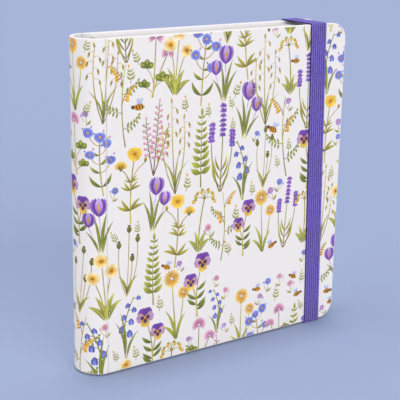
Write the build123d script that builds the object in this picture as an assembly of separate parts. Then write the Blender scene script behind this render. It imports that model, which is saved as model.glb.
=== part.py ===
"""Case-bound address book with a rounded spine, a stepped letter index and an elastic band.

The book stands on its tail: X runs from the spine to the fore edge, Y from the front cover to the
back cover and Z from tail to head. The origin is under the middle of the closed book. Lengths are in mm.
"""

import os

from build123d import *

# Case: two boards and a rounded spine, covered in printed paper
COVER_HEIGHT = 180.0
PANEL_WIDTH = 159.0
BOOK_THICKNESS = 26.0
SPINE_BULGE = 11.5
COVER_CORNER = 9.5
COVER_EDGE_ROUND = 0.45
BOARD_THICKNESS = 2.2
SPINE_CARD_THICKNESS = 1.2
COVER_PAPER = 0.3
TURN_IN = 15.0
CREASE_GAP = 0.4
GLUE_LINE = 0.05

# Endpapers
PASTEDOWN_PAPER = 0.2
PASTEDOWN_MARGIN = 3.0
FLYLEAF_PAPER = 0.25
FLYLEAF_SETBACK = 0.6

# Text block: sections of leaves with a stepped index cut into the fore edge
SECTION_NAMES = ("ab", "cd", "ef", "gh", "ij", "kl", "mn", "op", "qr", "st", "uv", "wx", "yz")
HEAD_SQUARE = 1.7
FORE_EDGE_SQUARE = 3.0
PAGE_CORNER = 7.5
SHEET_GAP = 0.15
GUTTER = 4.0
FOLD_THICKNESS = 0.6
FOLD_TAPER = 8.0
TAB_DEPTH = 9.0
TAB_ROUND = 2.0
TAB_NOTCH_ROUND = 1.2

# Lining glued across the folds
LINING_THICKNESS = 0.6
LINING_INSET = 2.0

# Elastic band and its ends, which are glued inside the back cover
BAND_WIDTH = 11.0
BAND_THICKNESS = 0.8
BAND_FIT = 0.1
BAND_INNER_BEND = 0.5
BAND_FROM_FORE_EDGE = 18.9
BAND_LEAN = 4.8
SLOT_FROM_EDGE = 20.0
SLOT_CLEARANCE = 0.3
GLUED_END = 22.0

# Places worked out from the sizes above
SECTION_COUNT = len(SECTION_NAMES)
HALF_BOOK = BOOK_THICKNESS / 2
CREASE_X = (SPINE_BULGE - PANEL_WIDTH) / 2
FORE_EDGE_X = CREASE_X + PANEL_WIDTH
PANEL_START_X = CREASE_X + CREASE_GAP / 2
TAIL_Z = BAND_FIT + BAND_THICKNESS
HEAD_Z = TAIL_Z + COVER_HEIGHT

BOARD_OUTER_Y = COVER_PAPER
BOARD_INNER_Y = COVER_PAPER + BOARD_THICKNESS
TURN_IN_INNER_Y = BOARD_INNER_Y + COVER_PAPER
COVER_INNER_Y = TURN_IN_INNER_Y + PASTEDOWN_PAPER
FLYLEAF_Y = COVER_INNER_Y + SHEET_GAP
BLOCK_Y = FLYLEAF_Y + FLYLEAF_PAPER + SHEET_GAP

BLOCK_THICKNESS = BOOK_THICKNESS - 2 * BLOCK_Y
SECTION_PITCH = (BLOCK_THICKNESS + SHEET_GAP) / SECTION_COUNT
SECTION_THICKNESS = SECTION_PITCH - SHEET_GAP
FOLD_X = CREASE_X + GUTTER
PAGE_EDGE_X = FORE_EDGE_X - FORE_EDGE_SQUARE
PAGE_TAIL_Z = TAIL_Z + HEAD_SQUARE
PAGE_HEAD_Z = HEAD_Z - HEAD_SQUARE
TAB_HEIGHT = (PAGE_HEAD_Z - PAGE_TAIL_Z) / SECTION_COUNT

BAND_TOP_Z = HEAD_Z + BAND_FIT + BAND_THICKNESS
BAND_INNER_Y = HALF_BOOK + BAND_FIT
BAND_OUTER_Y = BAND_INNER_Y + BAND_THICKNESS
BAND_MIDDLE_X = FORE_EDGE_X - BAND_FROM_FORE_EDGE


def plate(x_span, z_span, y_span, corner=0.0):
    """Upright plate across Y, with its two fore-edge corners rounded."""
    outline = Rectangle(x_span[1] - x_span[0], z_span[1] - z_span[0])
    if corner > 0:
        outline = fillet(outline.vertices().group_by(Axis.X)[-1], corner)
    middle = Pos((x_span[0] + x_span[1]) / 2, (z_span[0] + z_span[1]) / 2)
    return extrude(Plane.XZ.offset(-y_span[1]) * middle * outline, amount=y_span[1] - y_span[0])


def cover_layer(inset, near, far, corner_inset=None):
    """Plate in the front cover, between two depths below its outer face and set in from its three edges."""
    corner = COVER_CORNER - (inset if corner_inset is None else corner_inset)
    return plate(
        (PANEL_START_X, FORE_EDGE_X - inset),
        (TAIL_Z + inset, HEAD_Z - inset),
        (near - HALF_BOOK, far - HALF_BOOK),
        max(corner, 0.0),
    )


def make_board():
    """Stiff board of one cover, on the front side."""
    return cover_layer(COVER_PAPER + GLUE_LINE, BOARD_OUTER_Y + GLUE_LINE, BOARD_INNER_Y)


def make_cover_paper():
    """Paper over one board, folded round its head, tail and fore edge and turned in behind it."""
    body = cover_layer(0.0, 0.0, TURN_IN_INNER_Y)
    outer_face = body.faces().sort_by(Axis.Y)[0]
    body = fillet(outer_face.edges().sort_by(Axis.X)[1:], COVER_EDGE_ROUND)
    board_space = cover_layer(COVER_PAPER, BOARD_OUTER_Y, BOARD_INNER_Y)
    window = cover_layer(TURN_IN, BOARD_INNER_Y, TURN_IN_INNER_Y, corner_inset=COVER_CORNER)
    return body - board_space - window


def make_pastedown():
    """Endpaper glued inside one board: it laps over the turn-ins and sinks into the field between them."""
    lap = cover_layer(PASTEDOWN_MARGIN, TURN_IN_INNER_Y, COVER_INNER_Y)
    sunk_edge = TURN_IN + GLUE_LINE
    sunk = cover_layer(sunk_edge, BOARD_INNER_Y, COVER_INNER_Y, corner_inset=COVER_CORNER)
    field_edge = sunk_edge + PASTEDOWN_PAPER
    field_near = BOARD_INNER_Y + PASTEDOWN_PAPER
    field = cover_layer(field_edge, field_near, COVER_INNER_Y, corner_inset=COVER_CORNER)
    return lap + sunk - field


def spine_ring(near, far):
    """Half-ellipse ring in plan, between two depths below the outer face of the spine."""
    outer = Ellipse(SPINE_BULGE - near, HALF_BOOK - near)
    inner = Ellipse(SPINE_BULGE - far, HALF_BOOK - far)
    half = Pos(-SPINE_BULGE, 0) * Rectangle(2 * SPINE_BULGE - CREASE_GAP, 2 * BOOK_THICKNESS)
    return Pos(CREASE_X, 0) * ((outer - inner) & half)


def spine_layer(near, far, z_low, z_high):
    """Upright shell of the rounded spine."""
    return extrude(Pos(0, 0, z_low) * spine_ring(near, far), amount=z_high - z_low)


def make_spine_paper():
    """Cover paper round the spine, turned in over the card at head and tail."""
    card_outer = COVER_PAPER
    card_inner = COVER_PAPER + SPINE_CARD_THICKNESS
    inner = card_inner + COVER_PAPER
    body = spine_layer(0.0, inner, TAIL_Z, HEAD_Z)
    card_space = spine_layer(card_outer, card_inner, TAIL_Z + COVER_PAPER, HEAD_Z - COVER_PAPER)
    window = spine_layer(card_inner, inner, TAIL_Z + TURN_IN, HEAD_Z - TURN_IN)
    return body - card_space - window


def make_spine_card():
    """Bent card that stiffens the spine."""
    inset = COVER_PAPER + GLUE_LINE
    far = COVER_PAPER + SPINE_CARD_THICKNESS - GLUE_LINE
    return spine_layer(inset, far, TAIL_Z + inset, HEAD_Z - inset)


def make_lining():
    """Lining across the folds of the sections."""
    near_x = FOLD_X - FOLD_THICKNESS / 2 - SHEET_GAP
    return plate(
        (near_x - LINING_THICKNESS, near_x),
        (PAGE_TAIL_Z + LINING_INSET, PAGE_HEAD_Z - LINING_INSET),
        (-BLOCK_THICKNESS / 2, BLOCK_THICKNESS / 2),
    )


def make_flyleaf():
    """Free endpaper behind the front cover, tipped on a little way from the fold."""
    near = FLYLEAF_Y - HALF_BOOK
    return plate(
        (FOLD_X + FLYLEAF_SETBACK, PAGE_EDGE_X),
        (PAGE_TAIL_Z, PAGE_HEAD_Z),
        (near, near + FLYLEAF_PAPER),
        PAGE_CORNER,
    )


def index_outline(number):
    """Leaf of one section seen from the front: the margin is cut away below its own index tab."""
    tab_low_z = PAGE_HEAD_Z - number * TAB_HEIGHT
    margin_x = PAGE_EDGE_X - TAB_DEPTH
    start_x = FOLD_X - FOLD_THICKNESS
    if number == SECTION_COUNT:
        return plate((start_x, PAGE_EDGE_X), (PAGE_TAIL_Z, PAGE_HEAD_Z), (-HALF_BOOK, HALF_BOOK), PAGE_CORNER)
    outline = Polyline(
        (start_x, PAGE_TAIL_Z),
        (margin_x, PAGE_TAIL_Z),
        (margin_x, tab_low_z),
        (PAGE_EDGE_X, tab_low_z),
        (PAGE_EDGE_X, PAGE_HEAD_Z),
        (start_x, PAGE_HEAD_Z),
        close=True,
    )
    page = make_face(outline)
    page = fillet(corner_at(page, PAGE_EDGE_X, PAGE_HEAD_Z), PAGE_CORNER)
    page = fillet(corner_at(page, PAGE_EDGE_X, tab_low_z), TAB_ROUND)
    page = fillet(corner_at(page, margin_x, tab_low_z), TAB_NOTCH_ROUND)
    page = fillet(corner_at(page, margin_x, PAGE_TAIL_Z), PAGE_CORNER)
    return extrude(Plane.XZ.offset(-HALF_BOOK) * page, amount=BOOK_THICKNESS)


def corner_at(outline, x, y):
    """Corner of a flat outline nearest to a point."""
    return outline.vertices().sort_by_distance((x, y, 0))[0]


def section_middle(number):
    """Depth of the middle of a section, counted from 1 at the front."""
    return BLOCK_Y - HALF_BOOK + SECTION_THICKNESS / 2 + (number - 1) * SECTION_PITCH


def make_section(number):
    """Folded leaves of one pair of letters, pinched at the fold."""
    middle = section_middle(number)
    half = SECTION_THICKNESS / 2
    fold = FOLD_THICKNESS / 2
    full_x = FOLD_X + FOLD_TAPER
    sides = Polyline(
        (FOLD_X, middle - fold),
        (full_x, middle - half),
        (PAGE_EDGE_X, middle - half),
        (PAGE_EDGE_X, middle + half),
        (full_x, middle + half),
        (FOLD_X, middle + fold),
    )
    nose = ThreePointArc((FOLD_X, middle + fold), (FOLD_X - fold, middle), (FOLD_X, middle - fold))
    plan = make_face(sides + nose)
    stack = extrude(Pos(0, 0, PAGE_TAIL_Z) * plan, amount=PAGE_HEAD_Z - PAGE_TAIL_Z)
    return stack & index_outline(number)


def band_middle_x(z):
    """Middle of the band at a height: its tail end lies nearer to the fore edge."""
    return BAND_MIDDLE_X + BAND_LEAN * (0.5 - z / BAND_TOP_Z)


def band_strip():
    """Leaning strip, as wide as the band and deeper than the book."""
    half = BAND_WIDTH / 2
    low_x = band_middle_x(0.0)
    high_x = band_middle_x(BAND_TOP_Z)
    outline = Polyline(
        (low_x - half, 0.0),
        (low_x + half, 0.0),
        (high_x + half, BAND_TOP_Z),
        (high_x - half, BAND_TOP_Z),
        close=True,
    )
    depth = 2 * BOOK_THICKNESS
    return extrude(Plane.XZ.offset(-depth / 2) * make_face(outline), amount=depth)


def band_loop():
    """Band right round the closed book, before it is parted at the back."""
    height = BAND_TOP_Z
    inner = Rectangle(2 * BAND_INNER_Y, height - 2 * BAND_THICKNESS)
    inner = fillet(inner.vertices(), BAND_INNER_BEND)
    outer = Rectangle(2 * BAND_OUTER_Y, height)
    outer = fillet(outer.vertices(), BAND_INNER_BEND + BAND_THICKNESS)
    reach = BAND_WIDTH + abs(BAND_LEAN)
    side = Plane.YZ.offset(BAND_MIDDLE_X - reach) * Pos(0, height / 2) * (outer - inner)
    return extrude(side, amount=2 * reach) & band_strip()


def behind(y):
    """Block that takes in everything behind a depth."""
    size = 2 * COVER_HEIGHT
    return Pos(BAND_MIDDLE_X, y + size / 2, COVER_HEIGHT / 2) * Box(size, size, 2 * size)


def block_between(z_low, z_high):
    """Block that takes in everything between two heights."""
    size = 4 * PANEL_WIDTH
    return Pos(0, 0, (z_low + z_high) / 2) * Box(size, size, z_high - z_low)


def make_band():
    """Free part of the band: over the head, down the front and under the tail."""
    return band_loop() - behind(BAND_INNER_Y)


def slot_height(end):
    """Middle height of the slot near the head (+1) or the tail (-1)."""
    if end > 0:
        return HEAD_Z - SLOT_FROM_EDGE
    return TAIL_Z + SLOT_FROM_EDGE


def make_band_end(end):
    """Fixed end of the band: down the back cover, in through its slot and flat under the pastedown."""
    slot_z = slot_height(end)
    inner_y = HALF_BOOK - BOARD_INNER_Y
    shoulder = (slot_z - BAND_THICKNESS / 2, slot_z + BAND_THICKNESS / 2)
    if end > 0:
        outside = (shoulder[0], BAND_TOP_Z)
        inside = (shoulder[1] - GLUED_END, shoulder[1])
    else:
        outside = (0.0, shoulder[1])
        inside = (shoulder[0], shoulder[0] + GLUED_END)
    outer_run = band_loop() & behind(BAND_INNER_Y) & block_between(*outside)
    reach = (BAND_MIDDLE_X - BAND_WIDTH, BAND_MIDDLE_X + BAND_WIDTH)
    through = plate(reach, shoulder, (inner_y, BAND_OUTER_Y)) & band_strip()
    glued = plate(reach, inside, (inner_y, inner_y + BAND_THICKNESS)) & band_strip()
    return outer_run + through + glued


def band_way(end):
    """Slot through the back cover and the bed pressed into the board for one glued end of the band."""
    slot_z = slot_height(end)
    half_width = BAND_WIDTH / 2 + SLOT_CLEARANCE
    half_slot = BAND_THICKNESS / 2 + SLOT_CLEARANCE
    across = (band_middle_x(slot_z) - half_width, band_middle_x(slot_z) + half_width)
    inner_y = HALF_BOOK - BOARD_INNER_Y
    slot = plate(across, (slot_z - half_slot, slot_z + half_slot), (inner_y, BAND_OUTER_Y))
    bed_length = GLUED_END + SLOT_CLEARANCE
    far_z = slot_z - end * bed_length
    lean = BAND_LEAN * bed_length / BAND_TOP_Z
    bed_across = (across[0] - lean, across[1] + lean)
    bed_heights = (min(slot_z, far_z), max(slot_z, far_z))
    bed = plate(bed_across, bed_heights, (inner_y, inner_y + BAND_THICKNESS + GLUE_LINE))
    return slot, slot + bed


def to_back(piece):
    """Same piece on the back cover."""
    return mirror(piece, about=Plane.XZ)


def make_pieces():
    """Every piece of the book, by name."""
    slots = [band_way(+1), band_way(-1)]
    back_paper = to_back(make_cover_paper())
    back_board = to_back(make_board())
    for slot, slot_and_bed in slots:
        back_paper -= slot
        back_board -= slot_and_bed
    pieces = {
        "front_board": make_board(),
        "front_cover_paper": make_cover_paper(),
        "front_pastedown": make_pastedown(),
        "front_flyleaf": make_flyleaf(),
        "back_board": back_board,
        "back_cover_paper": back_paper,
        "back_pastedown": to_back(make_pastedown()),
        "back_flyleaf": to_back(make_flyleaf()),
        "spine_cover_paper": make_spine_paper(),
        "spine_card": make_spine_card(),
        "block_lining": make_lining(),
        "elastic_band": make_band(),
        "band_end_head": make_band_end(+1),
        "band_end_tail": make_band_end(-1),
    }
    for number, letters in enumerate(SECTION_NAMES, start=1):
        pieces["index_section_" + letters] = make_section(number)
    return pieces


def write_parts():
    """Writes one file per piece and prints the places that joints and mounts need."""
    os.makedirs("parts", exist_ok=True)
    for name, piece in make_pieces().items():
        export_step(piece, os.path.join("parts", name + ".step"))
    print("crease x", CREASE_X, "outer y", HALF_BOOK, "fold x", FOLD_X)
    print("section middles", [round(section_middle(n), 4) for n in range(1, SECTION_COUNT + 1)])
    print("band pivot y", BAND_INNER_Y + BAND_THICKNESS / 2)
    print("band middle x, tail and head", band_middle_x(0.0), band_middle_x(BAND_TOP_Z))


write_parts()
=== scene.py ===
"""Address book in a printed case with a ribbed elastic band, dressed over its fixed frame.

Places and sizes are in millimetres and turn into metres where a mesh is made. A point on a flat sheet, or on
the line of the band, is a complex number: its place across plus its height times 1j.
"""

import cmath
import math
import random
from functools import partial

import bmesh
import bpy
import numpy as np
from mathutils import Matrix, Vector
from mathutils.geometry import delaunay_2d_cdt


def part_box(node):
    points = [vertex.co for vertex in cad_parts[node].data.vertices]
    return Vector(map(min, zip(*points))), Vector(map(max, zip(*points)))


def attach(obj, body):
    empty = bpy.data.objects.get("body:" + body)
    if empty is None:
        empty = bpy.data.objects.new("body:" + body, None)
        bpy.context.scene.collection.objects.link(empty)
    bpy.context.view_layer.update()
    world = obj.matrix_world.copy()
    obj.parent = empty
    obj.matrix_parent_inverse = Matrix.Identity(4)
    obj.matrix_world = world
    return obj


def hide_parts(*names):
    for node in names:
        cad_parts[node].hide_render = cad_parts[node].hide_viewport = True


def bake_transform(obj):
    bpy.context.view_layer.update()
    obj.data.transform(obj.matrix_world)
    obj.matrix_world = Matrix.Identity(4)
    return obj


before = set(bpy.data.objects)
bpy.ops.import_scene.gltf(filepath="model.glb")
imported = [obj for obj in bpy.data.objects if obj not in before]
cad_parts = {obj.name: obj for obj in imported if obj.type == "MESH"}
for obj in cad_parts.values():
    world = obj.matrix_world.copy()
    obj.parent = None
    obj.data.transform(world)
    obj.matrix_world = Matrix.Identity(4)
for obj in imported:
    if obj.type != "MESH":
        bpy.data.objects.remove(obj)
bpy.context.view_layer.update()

MM = 0.001


def box_mm(node):
    """Lowest and highest corner of a node of the frame."""
    low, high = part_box(node)
    return np.array(low) / MM, np.array(high) / MM


# Case
PANEL_LOW, PANEL_HIGH = box_mm("front_cover_paper")
SPINE_LOW, SPINE_HIGH = box_mm("spine_cover_paper")
TAIL_Z = PANEL_LOW[2]
HEAD_Z = PANEL_HIGH[2]
HALF_BOOK = -PANEL_LOW[1]
COVER_HEIGHT = HEAD_Z - TAIL_Z
COVER_DEPTH = PANEL_HIGH[1] - PANEL_LOW[1]
CREASE_X = (PANEL_LOW[0] + SPINE_HIGH[0]) / 2
CREASE_GAP = PANEL_LOW[0] - SPINE_HIGH[0]
PANEL_WIDTH = PANEL_HIGH[0] - CREASE_X
SPINE_BULGE = CREASE_X - SPINE_LOW[0]
SPINE_DEPTH = 1.8
SPINE_STEPS = 28
SPINE_SAMPLES = 721
COVER_CORNER = 9.5
CORNER_STEPS = 14
EDGE_ROUND = 0.45
EDGE_ARC = math.pi / 2 * EDGE_ROUND
EDGE_STEPS = 3
PAPER = 0.3
SHOWN_TURN_IN = 8.0
GROOVE_WIDTH = 0.9
GROOVE_DEPTH = 0.3
GROOVE_LINES = GROOVE_WIDTH * np.array([0.25, 0.5, 0.75, 1.0])
CREASE_SINK = 0.22
CREASE_HOLLOW = 0.5
CREASE_DEPTH = 2.7
CREASE_END_GAP = 0.1
CREASE_COLUMNS = 9
CREASE_ROWS = 10

# Leaves
FIRST_LOW, FIRST_HIGH = box_mm("index_section_ab")
LAST_LOW = box_mm("index_section_yz")[0]
SECTION_NAMES = ("ab", "cd", "ef", "gh", "ij", "kl", "mn", "op", "qr", "st", "uv", "wx", "yz")
SECTION_PITCH = (LAST_LOW[1] - FIRST_LOW[1]) / (len(SECTION_NAMES) - 1)
SECTIONS_IN_BUNCH = 4
FIRST_BUNCH_END = 1.5
LEAVES_IN_SECTION = 6
LEAF_SHARE = 0.62
LEAF_SEED = 7
EDGE_TRIM = 0.22
END_TRIM = 0.2
FOLD_THICKNESS = 0.6
FOLD_TAPER = 8.0
FOLD_LINES = (2.0, 4.0, FOLD_TAPER)
FOLD_MARGIN = 0.2
FOLD_OVERRUN = 1.0
FOLD_X = FIRST_LOW[0] + FOLD_THICKNESS / 2
PAGE_EDGE_X = FIRST_HIGH[0]
PAGE_TAIL_Z = FIRST_LOW[2]
PAGE_HEAD_Z = FIRST_HIGH[2]
PAGE_CORNER = 7.5
PAGE_CORNER_STEPS = 7
TAB_DEPTH = 9.0
TAB_ROUND = 2.0
TAB_NOTCH_ROUND = 1.2
TAB_HEIGHT = (PAGE_HEAD_Z - PAGE_TAIL_Z) / len(SECTION_NAMES)
LETTER_HEIGHT = 4.6
LETTER_DEPTH = 0.012
LETTER_SHIFT = 0.2
LETTER_CURVE_STEPS = 3
RULE_PITCH = 8.0
RULE_SHARE = 0.03
RULE_STRENGTH = 0.7
RULED_ACROSS = (-58.0, 64.0)
RULED_UP = (14.0, 162.0)
LINING_STEPS = 8
LINING_ROWS = 12
LINING_RELIEF = 0.12
LINING_THREAD = 0.7

# Elastic band
BAND_LOW, BAND_HIGH = box_mm("elastic_band")
BAND_WIDTH = 11.0
BAND_THICKNESS = 0.8
BAND_LEAN = BAND_HIGH[0] - BAND_LOW[0] - BAND_WIDTH
BAND_INNER_Y = -BAND_LOW[1] - BAND_THICKNESS
BAND_TAIL = BAND_LOW[2] + BAND_THICKNESS
BAND_HEAD = BAND_HIGH[2] - BAND_THICKNESS
BAND_BEND = 0.5
BAND_BEND_STEPS = 8
BAND_RIBS = 7
BAND_UNDERSIDE = 0.02
BAND_STUB = 6.0
BAND_THREAD = 0.62
RIB_SAMPLES = 8
RIB_RELIEF = 0.2
RIB_BLUNTNESS = 0.7
SLOT_FROM_HEAD = 20.0
GLUED_END = 22.0
GLUED_BEND = 0.9
BOARD_INNER_DEPTH = 2.5
LONG_STEP = 2.0
HEAD_STEP = 1.0
SLOT_STEP = 0.6

# Print
STEM_TAPER = 0.65
BLADE_LEAST = 0.02
RIB_HALVES = (0.16, 0.05)
VEIN_HALVES = (0.13, 0.04)
VEIN_SHARE = 0.72
VEIN_POINTS = 4
RING_HOLE = 0.12
BUD_WIDTH = 0.62
SOWING_SEED = 41
COLUMN_PITCH = 15.0
COLUMN_SHIFT = 1.8
COLUMN_DROP = (4.0, 34.0)
ROW_GAP = 0.5
TALL_SIZES = (0.98, 1.18)
TALL_LEAN = 0.1
LEAST_SIZE = 0.7
BARE_LOW = (77.0, 36.0)
BARE_HIGH = (131.0, 50.0)
BARE_MARGIN = 1.0
FILL_CELL = 1.5
FILL_REACH = 2
SMALL_SIZES = (0.7, 0.95)
SMALL_LEAN = 0.35
WELD = 1e-4
TINY = 1e-9
MATCH_DIGITS = 3
INSIDE_TRIANGLES = 1
PRINT_LOOP = 1

# Places on the printed sheets' map for baking, as shares of its width and height
MAP_FACE = (0.01, 0.87)
MAP_UNDERSIDE = (0.89, 0.99)
MAP_RIM = (0.993, 0.998)
MAP_UP = (0.01, 0.99)

# Camera
CAMERA_EYE = Vector((-336.9, -472.6, 249.0))
CAMERA_TARGET = Vector((-15.47, -13.0, 89.59))
CAMERA_ROLL = math.radians(1.003)
CAMERA_LENS = 95.99
SENSOR_WIDTH = 36.0
CLIP_START = 10.0
CLIP_END = 50000.0

# Studio: each lamp has its strength, its width in degrees and the direction in which it shines
FLOOR_HALF = 6000.0
WORLD_LIGHT = 0.36
LAMPS = {
    "front_lamp": (2.03, 60, (0.0, 0.95, -0.25)),
    "spine_lamp": (1.42, 80, (0.9, -0.3, -0.3)),
    "back_lamp": (0.95, 80, (-0.75, -0.6, -0.3)),
    "top_lamp": (1.08, 14, (0.0, -0.06, -1.0)),
}

# Colours of the print, as 0 to 255 values of a colour chart
CHART = {
    "ground": (240, 237, 240),
    "indigo": (66, 58, 160),
    "cobalt": (88, 92, 202),
    "sky": (142, 160, 232),
    "plum": (82, 40, 132),
    "violet": (122, 70, 182),
    "lilac": (172, 136, 216),
    "mauve": (206, 176, 226),
    "rose": (186, 92, 150),
    "pink": (222, 152, 192),
    "blush": (240, 208, 224),
    "umber": (112, 66, 20),
    "amber": (198, 124, 18),
    "gold": (230, 172, 34),
    "lemon": (248, 216, 98),
    "cream": (248, 238, 196),
    "straw": (206, 182, 96),
    "olive": (142, 124, 48),
    "lime": (194, 191, 72),
    "leaf": (136, 147, 52),
    "moss": (88, 104, 38),
    "pine": (46, 60, 26),
    "bark": (64, 44, 28),
    "wing": (222, 224, 236),
}


def to_light(value):
    """Amount of light of one 0 to 255 chart value."""
    share = value / 255
    if share <= 0.04045:
        return share / 12.92
    return ((share + 0.055) / 1.055) ** 2.4


def chart(red, green, blue):
    """Chart colour as a shader value."""
    return (to_light(red), to_light(green), to_light(blue), 1.0)


COLOUR = {name: np.array(chart(*values)[:3]) for name, values in CHART.items()}
BARE_PAPER = np.append(COLOUR["ground"], 0.0)


# Drawing on the flat sheet


def heading(degrees, tilt=1.0):
    """Step of one millimetre in a direction, squeezed in height by tilt."""
    turn = math.radians(degrees)
    return complex(math.cos(turn), tilt * math.sin(turn))


def bowed(start, end, bow, count=7):
    """Points on a line from start to end that bows sideways by a share of its length."""
    middle = (start + end) / 2 + 2j * bow * (end - start)
    share = np.linspace(0, 1, count)
    return (1 - share) ** 2 * start + 2 * share * (1 - share) * middle + share**2 * end


def point_on(line, share):
    """Point a share of the way along a line."""
    return np.interp(share, np.linspace(0, 1, len(line)), line)


def nodes(line, shares):
    """Points at some shares of a line, each with its number and its side, right and left in turn."""
    for number, share in enumerate(shares):
        yield number, (-1) ** number, point_on(line, share)


def widened(line, half_widths):
    """Outline of a strip along a line."""
    run = np.gradient(line)
    across = 1j * run / np.abs(run) * half_widths
    return np.concatenate([line - across, (line + across)[::-1]])


def blade(start, end, width, bow, belly=0.45, blunt=1.0):
    """Outline of a leaf or petal, widest at the belly share of its length."""
    line = bowed(start, end, bow)
    share = np.linspace(0, 1, len(line)) ** (math.log(0.5) / math.log(belly))
    half_widths = width / 2 * np.sin(np.pi * share) ** blunt
    return widened(line, np.maximum(half_widths, BLADE_LEAST * width))


class Plant:
    """Inked shapes of one plant, drawn upwards from the foot of its stem and laid down in order."""

    def __init__(self, seed, draw):
        self.rng = random.Random(seed)
        self.shapes = []
        draw(self)

    def ink(self, outline, near, far, start, end):
        """One shape whose colour runs from near at start to far at end."""
        self.shapes.append((outline, COLOUR[near], COLOUR[far], start, end))

    def stem(self, start, end, bow, width=0.85, near="straw", far="olive"):
        line = bowed(start, end, bow)
        widths = np.linspace(width, STEM_TAPER * width, len(line))
        self.ink(widened(line, widths / 2), near, far, start, end)
        return line

    def leaf(self, start, end, width, bow, near="moss", far="lime", rib="pine"):
        self.ink(blade(start, end, width, bow), near, far, start, end)
        spine = bowed(start, end, bow)[:-1]
        self.ink(widened(spine, np.linspace(*RIB_HALVES, len(spine))), rib, far, start, end)

    def tuft(self, tips, widths, bow, near="moss", far="lime", rib="pine", foot=0.1):
        """Leaves that spread from the foot of the stem."""
        for tip, width in zip(tips, np.broadcast_to(widths, len(tips))):
            self.leaf(foot * tip.real, tip, width, bow * tip.real, near, far, rib)

    def petal(self, start, end, width, near, far, belly=0.64, blunt=0.7, bow=0.0, vein=None):
        self.ink(blade(start, end, width, bow, belly, blunt), near, far, start, end)
        if vein:
            line = bowed(start, start + VEIN_SHARE * (end - start), bow, VEIN_POINTS)
            self.ink(widened(line, np.linspace(*VEIN_HALVES, VEIN_POINTS)), vein, near, start, end)

    def ring(self, centre, radius, count, near, far, tilt, turn, fat, vein=None):
        """Petals round a centre, squeezed by tilt where the flower is seen from the side."""
        width = fat * radius * 2 * math.sin(np.pi / count) * math.sqrt(tilt)
        for number in range(count):
            out = radius * heading(math.degrees(turn) + 360 * number / count, tilt)
            self.petal(centre + RING_HOLE * out, centre + out, width, near, far, vein=vein)

    def dot(self, centre, radius, near, far, tilt=1.0, sides=8):
        outline = np.array([centre + radius * heading(360 * k / sides, tilt) for k in range(sides)])
        self.ink(outline, near, far, centre - 1j * radius, centre + 1j * radius)

    def bud(self, place, direction, size, near, far):
        self.petal(place, place + size * direction, BUD_WIDTH * size, near, far, belly=0.5)

    def blossom(self, centre, radius, near="cobalt", far="sky", heart="gold"):
        """Five round petals with an eye."""
        tilt = self.rng.uniform(0.72, 1.0)
        turn = self.rng.uniform(0, 2)
        self.ring(centre, radius, 5, near, far, tilt, turn, 1.0, "indigo" if near == "cobalt" else None)
        self.dot(centre, 0.24 * radius, heart, heart, tilt)
        self.dot(centre, 0.11 * radius, "amber", "amber", tilt, 6)


def forget_me_not(plant):
    """Branching spray of small blue blossoms with golden eyes."""
    heads = [plant.rng.uniform(-2, 2) + 31j]
    line = plant.stem(0, heads[0], plant.rng.uniform(-0.05, 0.05))
    for _, side, node in nodes(line, (0.4, 0.54, 0.7, 0.85)):
        heads.append(node + complex(side * plant.rng.uniform(4.2, 6.6), plant.rng.uniform(5.0, 7.5)))
        plant.stem(node, heads[-1], -0.14 * side, 0.55)
        tip = node + complex(-side * plant.rng.uniform(4.5, 6.0), plant.rng.uniform(2.5, 5.0))
        plant.leaf(node, tip, 1.7, 0.12 * side)
    low = point_on(line, 0.16)
    for side in (-1, 1):
        plant.leaf(low, low + 6 * side + 6.5j, 2.1, -0.14 * side, far="leaf")
    for head in heads:
        plant.bud(head + 1.9 + 2.2j, 0.3 + 1j, 1.7, "lilac", "pink")
        plant.bud(head - 2.2 + 1.4j, -0.6 + 0.8j, 1.5, "sky", "cobalt")
        plant.blossom(head, plant.rng.uniform(2.7, 3.3))


def lavender(plant):
    """Tall violet flower spikes over narrow leaves."""
    for foot, top, levels in ((0.0, 0.5 + 42j, 7), (-0.4, -5.5 + 33j, 5), (0.5, 6 + 29j, 5)):
        line = plant.stem(foot, top, -0.012 * top.real, 0.7, "olive", "leaf")
        for _, _, centre in nodes(line, 0.97 - 0.055 * np.arange(levels)):
            for number in range(5):
                out = heading(20 + 35 * number + plant.rng.uniform(-9, 9))
                shade = ("plum", "violet") if number % 2 else ("violet", "lilac")
                plant.petal(centre, centre + plant.rng.uniform(1.9, 2.5) * out, 1.15, *shade, 0.6)
    for side in (-1, 1):
        for rise, reach in ((2, 12), (6, 10), (10, 8)):
            plant.leaf(1j * rise, 1j * rise + reach * (0.42 * side + 1j), 1.15, -0.1 * side, "olive", "lime")


def buttercup(plant):
    """Golden cups on branching stems with cut leaves."""
    line = plant.stem(0, 0.5 + 34j, 0.03)
    low, middle, high = (point_on(line, share) for share in (0.2, 0.5, 0.62))
    left = -7 + 28j
    right = 6.6 + 30.5j
    plant.stem(middle, left, -0.12, 0.65)
    plant.stem(high, right, 0.1, 0.6)
    for place, spread in ((middle, 1.0), (low, 1.35), (high, 0.75)):
        for angle in (20, 48, 132, 160):
            plant.leaf(place, place + 6.2 * spread * heading(angle), 1.25 * spread, 0.07, "olive", "lime")
    top = 0.5 + 35j
    plant.ring(top, 4.4, 5, "gold", "lemon", 0.8, 0.3, 1.05, "amber")
    plant.dot(top, 1.25, "amber", "gold", 0.8, 10)
    plant.ring(top, 0.8, 7, "umber", "amber", 0.8, 0, 0.6)
    for angle in (150, 120, 90, 60, 30):
        plant.petal(left, left + 4 * heading(angle), 2.6, "amber", "lemon", vein="amber")
    for side in (-1, 1):
        plant.leaf(left - 1.2j, left + 1.4 * side + 1.8j, 0.9, 0, "moss", "leaf")
    plant.bud(right, 0.2 + 1j, 2.8, "moss", "gold")


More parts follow.
